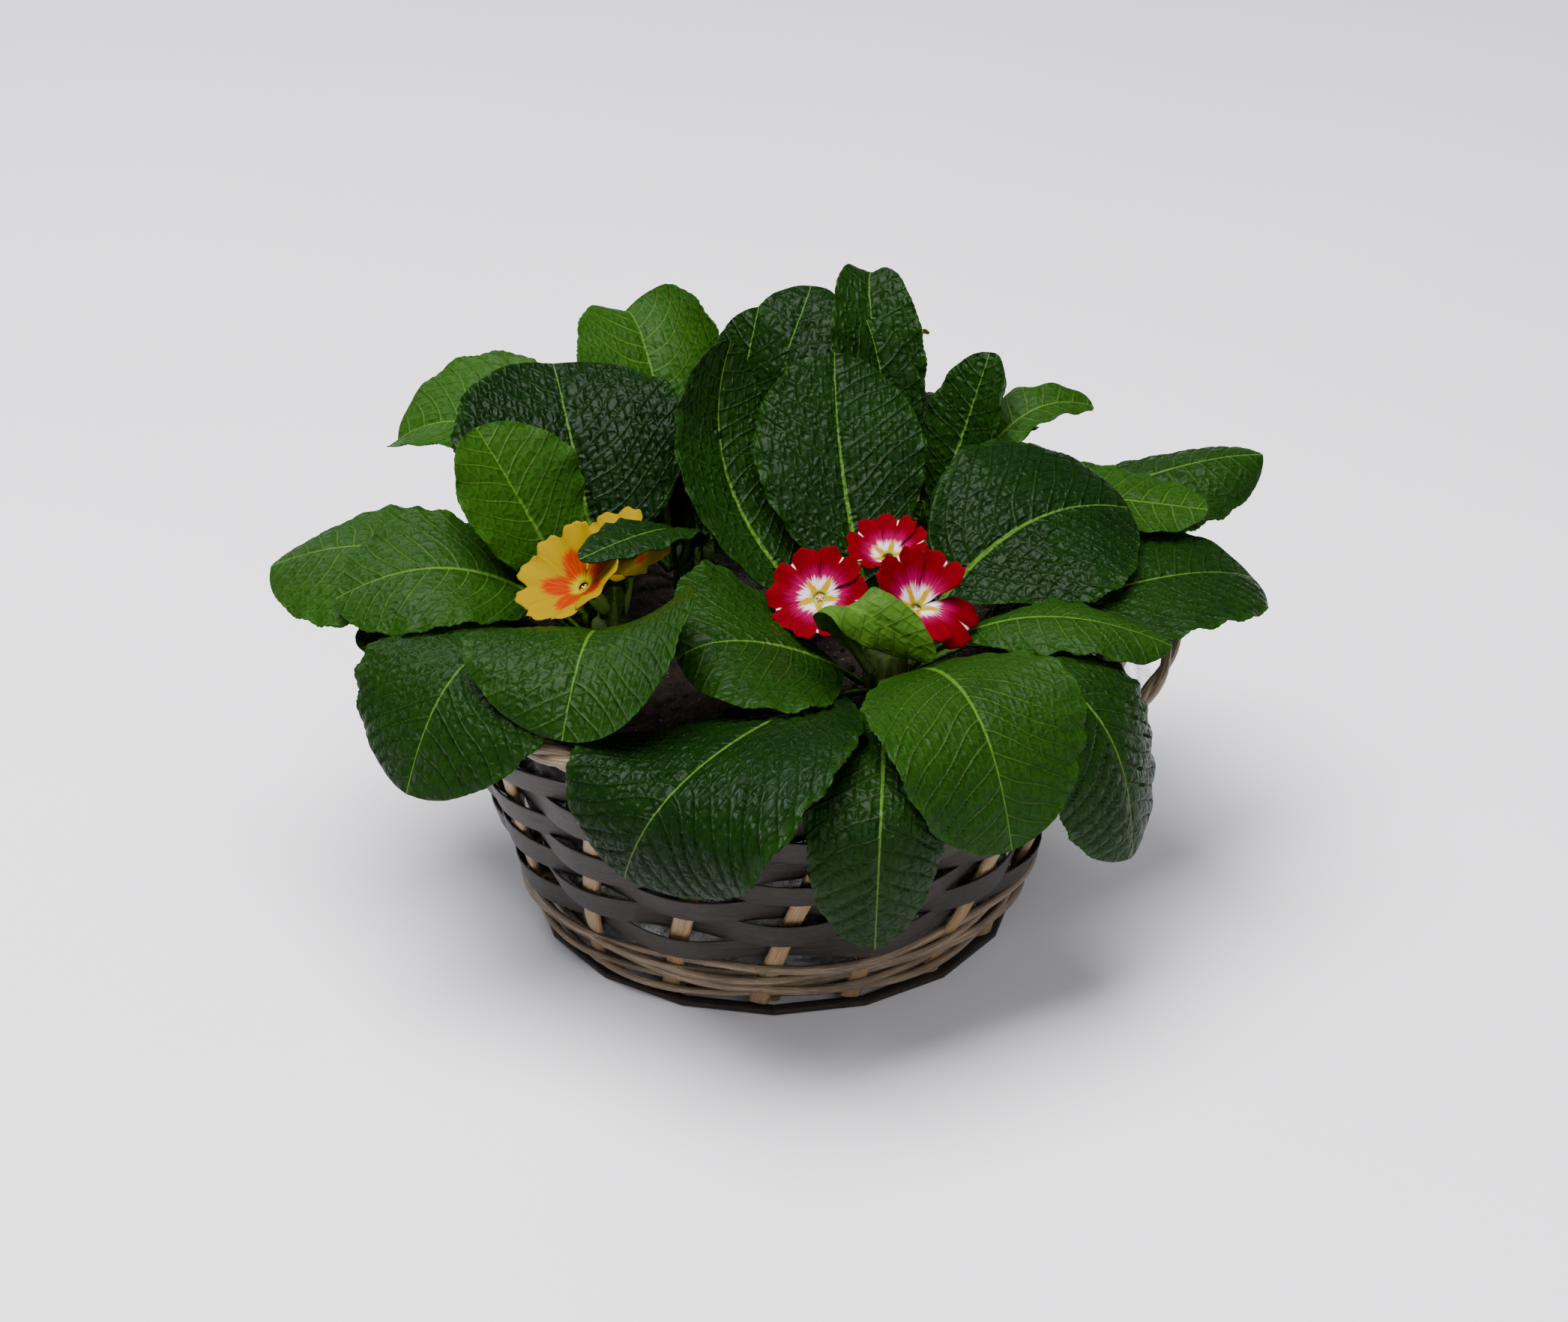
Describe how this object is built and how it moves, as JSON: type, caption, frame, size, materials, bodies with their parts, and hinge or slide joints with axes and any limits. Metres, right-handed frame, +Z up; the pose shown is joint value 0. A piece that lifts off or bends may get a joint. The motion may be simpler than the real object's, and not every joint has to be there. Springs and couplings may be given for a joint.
{
  "type": "potted primrose",
  "caption": "Round willow basket planted with primroses: rosettes of quilted leaves with yellow and crimson blooms, two ear handles and a clear liner.",
  "frame": {"origin": "centre of the basket's underside, on the surface it stands on", "axes": "+Z up, the front of the basket faces -Y, +X to the right as seen from the front"},
  "size_m": [0.3894, 0.3271, 0.2182],
  "materials": {
    "stake": "pale split willow, satin",
    "chip": "dark stained flat strip, satin",
    "willow": "peeled natural rod, matt",
    "film": "clear soft plastic film",
    "soil": "damp peat soil, crumbly",
    "crown": "fresh green stalks and young leaves",
    "leaf": "quilted primrose leaf, glossy to matt green",
    "petal_yellow": "soft yellow petal with an orange flame",
    "petal_crimson": "soft crimson petal with a white and yellow eye"
  },
  "bodies": {
    "root": {"basket_frame": "stake", "basket_foot": "chip", "basket_chip_weave": "chip", "basket_rod_weave": "willow", "basket_rim": "willow", "basket_ear_right": "willow", "basket_ear_left": "willow", "liner": "film", "soil": "soil", "crown_yellow": "crown", "crown_crimson": "crown", "crown_left": "crown", "crown_right": "crown", "leaf_yellow_far_left": "leaf", "leaf_yellow_left_front": "leaf", "leaf_left_upper_light": "leaf", "leaf_yellow_back_glossy": "leaf", "leaf_yellow_upright_light": "leaf", "leaf_left_small_over_bloom": "leaf", "leaf_left_curled_upright": "leaf", "leaf_left_hanging": "leaf", "leaf_crimson_tall": "leaf", "leaf_yellow_front": "leaf", "leaf_yellow_front_left": "leaf", "leaf_yellow_under_left": "leaf", "leaf_crimson_centre": "leaf", "leaf_crimson_front_glossy": "leaf", "leaf_crimson_front_hanging": "leaf", "leaf_crimson_front_light": "leaf", "leaf_crimson_right_low": "leaf", "leaf_crimson_right_side": "leaf", "leaf_crimson_right_quilted": "leaf", "leaf_crimson_back_quilted": "leaf", "leaf_crimson_far_right": "leaf", "leaf_crimson_curled_light": "leaf", "leaf_right_far_point": "leaf", "leaf_right_folded_light": "leaf", "leaf_right_small_tip": "leaf", "leaf_right_back_dark": "leaf", "leaf_right_back_small": "leaf", "leaf_right_back_upright": "leaf", "leaf_right_upright_matte": "leaf", "leaf_right_inner": "leaf", "leaf_left_back_dark": "leaf", "leaf_left_matte": "leaf", "leaf_left_back_light": "leaf", "leaf_right_arching": "leaf", "leaf_right_back_low": "leaf", "leaf_right_side_low": "leaf", "leaf_left_back_low": "leaf", "leaf_left_side_low": "leaf", "bloom_yellow_main": "petal_yellow", "bloom_yellow_second": "petal_yellow", "bloom_crimson_left": "petal_crimson", "bloom_crimson_middle": "petal_crimson", "bloom_crimson_right": "petal_crimson", "bloom_back_orange": "petal_yellow"}
  },
  "joints": []
}
